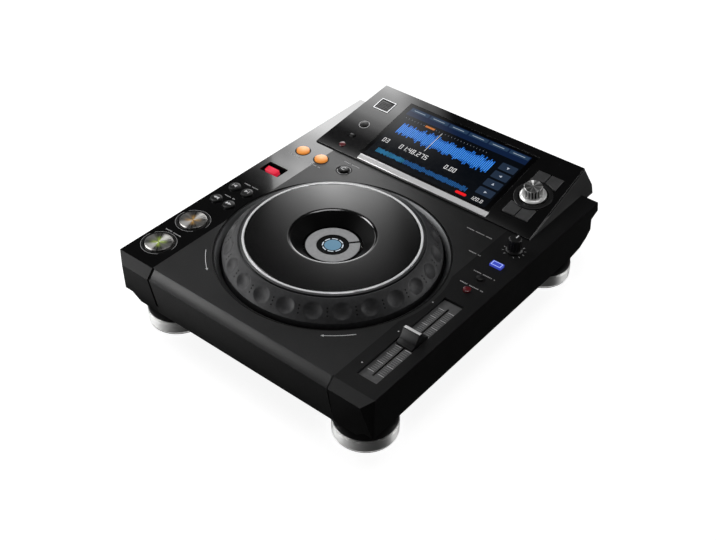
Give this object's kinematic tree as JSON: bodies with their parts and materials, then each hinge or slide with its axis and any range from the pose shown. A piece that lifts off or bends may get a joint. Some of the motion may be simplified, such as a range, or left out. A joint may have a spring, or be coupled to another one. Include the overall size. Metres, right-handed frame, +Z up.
{
  "type": "tabletop media player for DJs",
  "caption": "Tabletop DJ media player with a dimpled jog wheel, tilted touch screen pod, transport buttons, tempo fader and rear sockets, on round feet.",
  "frame": {"origin": "on the table under the middle of the outer size", "axes": "+X to the user's right, +Y to the back with the sockets, +Z up"},
  "size_m": [0.306, 0.3856, 0.1102],
  "materials": {
    "case_black": "satin moulded plastic",
    "gloss_black": "polished",
    "panel_black": "fine satin",
    "skirt_chrome": "polished",
    "ring_metal": "polished edge",
    "grip_rubber": "matte",
    "trim_white": "gloss",
    "button_metal": "circular brush",
    "button_black": "gloss",
    "lit_orange": "translucent, lit",
    "lit_blue": "translucent, lit",
    "lit_red": "translucent, lit",
    "lit_white": "translucent, lit",
    "display_grey": "lit display",
    "glass": "polished",
    "plate_grey": "satin",
    "key_grey": "satin",
    "knob_metal": "turned",
    "pan_steel": "powder coat",
    "socket_steel": "plain",
    "screw_steel": "blackened",
    "nylon": "plain",
    "board_green": "solder mask",
    "foot_rubber": "matte"
  },
  "bodies": {
    "case": {"lower_case": "pan_steel", "top_cover": "panel_black", "left_cover": "gloss_black", "right_cover": "panel_black", "rear_panel": "case_black", "case_screws": "screw_steel", "foot_columns": "case_black", "foot_skirts": "skirt_chrome", "foot_pads": "foot_rubber", "well_ring": "ring_metal", "jog_base": "pan_steel", "centre_display": "gloss_black", "display_mark": "display_grey", "fader_plate": "plate_grey", "fader_unit": "socket_steel", "pod_housing": "case_black", "pod_panel": "gloss_black", "touch_glass": "glass", "lcd_panel": "socket_steel", "display_trim": "skirt_chrome", "usb_frame": "lit_white", "usb_socket": "socket_steel", "selector_encoder": "socket_steel", "main_board": "board_green", "power_supply": "board_green", "panel_boards": "board_green", "rear_sockets": "socket_steel", "power_inlet": "case_black"},
    "jog_wheel": {"jog_ring": "grip_rubber", "jog_trim": "trim_white", "jog_bearing": "socket_steel", "jog_gear": "nylon"},
    "jog_plate": {"jog_plate": "gloss_black"},
    "encoder_gear": {"encoder_gear": "nylon"},
    "play_button": {"play_button": "button_metal"},
    "cue_button": {"cue_button": "button_metal"},
    "search_back_button": {"search_back_button": "button_black"},
    "search_on_button": {"search_on_button": "button_black"},
    "track_back_button": {"track_back_button": "button_black"},
    "track_on_button": {"track_on_button": "button_black"},
    "loop_in_button": {"loop_in_button": "lit_orange"},
    "loop_out_button": {"loop_out_button": "lit_orange"},
    "reloop_button": {"reloop_button": "button_black"},
    "mode_button": {"mode_button": "lit_blue"},
    "range_button": {"range_button": "button_black"},
    "hold_button": {"hold_button": "lit_red"},
    "stop_button": {"stop_button": "button_black"},
    "mark_button": {"mark_button": "lit_red"},
    "back_button": {"back_button": "key_grey"},
    "tag_button": {"tag_button": "key_grey"},
    "list_button": {"list_button": "key_grey"},
    "menu_button": {"menu_button": "key_grey"},
    "direction_lever": {"direction_lever": "lit_red"},
    "fader_cap": {"fader_cap": "case_black"},
    "speed_knob": {"speed_knob": "case_black"},
    "usb_door": {"usb_door": "key_grey"},
    "lock_switch": {"lock_switch": "case_black"},
    "selector_shaft": {"selector_shaft": "socket_steel"},
    "selector_knob": {"selector_knob": "knob_metal"},
    "power_button": {"power_button": "case_black"}
  },
  "joints": [
    {"name": "jog_spin", "type": "hinge", "parent": "case", "child": "jog_wheel", "pos_m": [0, -0.0573, 0.084], "axis": [0, 0, 1], "continuous": true},
    {"name": "plate_press", "type": "slide", "parent": "jog_wheel", "child": "jog_plate", "axis": [0, 0, -1], "range_m": [0, 0.0003], "stiffness_N_per_m": 2000, "springref_m": -0.002},
    {"name": "encoder_spin", "type": "hinge", "parent": "case", "child": "encoder_gear", "pos_m": [-0.04253, -0.09983, 0.07], "axis": [0, 0, 1], "continuous": true},
    {"name": "play_press", "type": "slide", "parent": "case", "child": "play_button", "axis": [0, 0, -1], "range_m": [0, 0.0008], "stiffness_N_per_m": 500, "springref_m": -0.002},
    {"name": "cue_press", "type": "slide", "parent": "case", "child": "cue_button", "axis": [0, 0, -1], "range_m": [0, 0.0008], "stiffness_N_per_m": 500, "springref_m": -0.002},
    {"name": "search_back_press", "type": "slide", "parent": "case", "child": "search_back_button", "axis": [0, 0, -1], "range_m": [0, 0.0008], "stiffness_N_per_m": 500, "springref_m": -0.002},
    {"name": "search_on_press", "type": "slide", "parent": "case", "child": "search_on_button", "axis": [0, 0, -1], "range_m": [0, 0.0008], "stiffness_N_per_m": 500, "springref_m": -0.002},
    {"name": "track_back_press", "type": "slide", "parent": "case", "child": "track_back_button", "axis": [0, 0, -1], "range_m": [0, 0.0008], "stiffness_N_per_m": 500, "springref_m": -0.002},
    {"name": "track_on_press", "type": "slide", "parent": "case", "child": "track_on_button", "axis": [0, 0, -1], "range_m": [0, 0.0008], "stiffness_N_per_m": 500, "springref_m": -0.002},
    {"name": "loop_in_press", "type": "slide", "parent": "case", "child": "loop_in_button", "axis": [0, 0, -1], "range_m": [0, 0.0008], "stiffness_N_per_m": 500, "springref_m": -0.002},
    {"name": "loop_out_press", "type": "slide", "parent": "case", "child": "loop_out_button", "axis": [0, 0, -1], "range_m": [0, 0.0008], "stiffness_N_per_m": 500, "springref_m": -0.002},
    {"name": "reloop_press", "type": "slide", "parent": "case", "child": "reloop_button", "axis": [0, 0, -1], "range_m": [0, 0.0008], "stiffness_N_per_m": 500, "springref_m": -0.002},
    {"name": "mode_press", "type": "slide", "parent": "case", "child": "mode_button", "axis": [0, 0, -1], "range_m": [0, 0.0008], "stiffness_N_per_m": 500, "springref_m": -0.002},
    {"name": "range_press", "type": "slide", "parent": "case", "child": "range_button", "axis": [0, 0, -1], "range_m": [0, 0.0008], "stiffness_N_per_m": 500, "springref_m": -0.002},
    {"name": "hold_press", "type": "slide", "parent": "case", "child": "hold_button", "axis": [0, 0, -1], "range_m": [0, 0.0008], "stiffness_N_per_m": 500, "springref_m": -0.002},
    {"name": "stop_press", "type": "slide", "parent": "case", "child": "stop_button", "axis": [0, 0.1918, -0.9814], "range_m": [0, 0.0008], "stiffness_N_per_m": 500, "springref_m": -0.002},
    {"name": "mark_press", "type": "slide", "parent": "case", "child": "mark_button", "axis": [0, 0.1918, -0.9814], "range_m": [0, 0.0008], "stiffness_N_per_m": 500, "springref_m": -0.002},
    {"name": "back_press", "type": "slide", "parent": "case", "child": "back_button", "axis": [0, 0.1918, -0.9814], "range_m": [0, 0.0008], "stiffness_N_per_m": 500, "springref_m": -0.002},
    {"name": "tag_press", "type": "slide", "parent": "case", "child": "tag_button", "axis": [0, 0.1918, -0.9814], "range_m": [0, 0.0008], "stiffness_N_per_m": 500, "springref_m": -0.002},
    {"name": "list_press", "type": "slide", "parent": "case", "child": "list_button", "axis": [0, 0.1918, -0.9814], "range_m": [0, 0.0008], "stiffness_N_per_m": 500, "springref_m": -0.002},
    {"name": "menu_press", "type": "slide", "parent": "case", "child": "menu_button", "axis": [0, 0.1918, -0.9814], "range_m": [0, 0.0008], "stiffness_N_per_m": 500, "springref_m": -0.002},
    {"name": "power_press", "type": "slide", "parent": "case", "child": "power_button", "axis": [0, -1, 0], "range_m": [0, 0.0025], "stiffness_N_per_m": 500, "springref_m": -0.002},
    {"name": "lever_tilt", "type": "hinge", "parent": "case", "child": "direction_lever", "pos_m": [-0.1328, 0.0055, 0.072], "axis": [1, 0, 0], "range_deg": [-24, 0]},
    {"name": "fader_slide", "type": "slide", "parent": "case", "child": "fader_cap", "axis": [0, 1, 0], "range_m": [-0.05, 0.05]},
    {"name": "speed_turn", "type": "hinge", "parent": "case", "child": "speed_knob", "pos_m": [0.1315, 0.0518, 0.084], "axis": [0, 0, 1], "range_deg": [-150, 150]},
    {"name": "usb_door_swing", "type": "hinge", "parent": "case", "child": "usb_door", "pos_m": [-0.106, 0.16269, 0.10191], "axis": [-1, 0, 0], "range_deg": [0, 95]},
    {"name": "lock_slide", "type": "slide", "parent": "case", "child": "lock_switch", "axis": [1, 0, 0], "range_m": [-0.0015, 0.0015]},
    {"name": "selector_turn", "type": "hinge", "parent": "case", "child": "selector_shaft", "pos_m": [0.105, 0.12484, 0.09538], "axis": [0, -0.1918, 0.9814], "continuous": true},
    {"name": "selector_push", "type": "slide", "parent": "selector_shaft", "child": "selector_knob", "axis": [0, 0.1918, -0.9814], "range_m": [0, 0.0008], "stiffness_N_per_m": 500, "springref_m": -0.002}
  ],
  "couplings": [
    {"joint": "encoder_spin", "follows": "jog_spin", "ratio": -5}
  ]
}
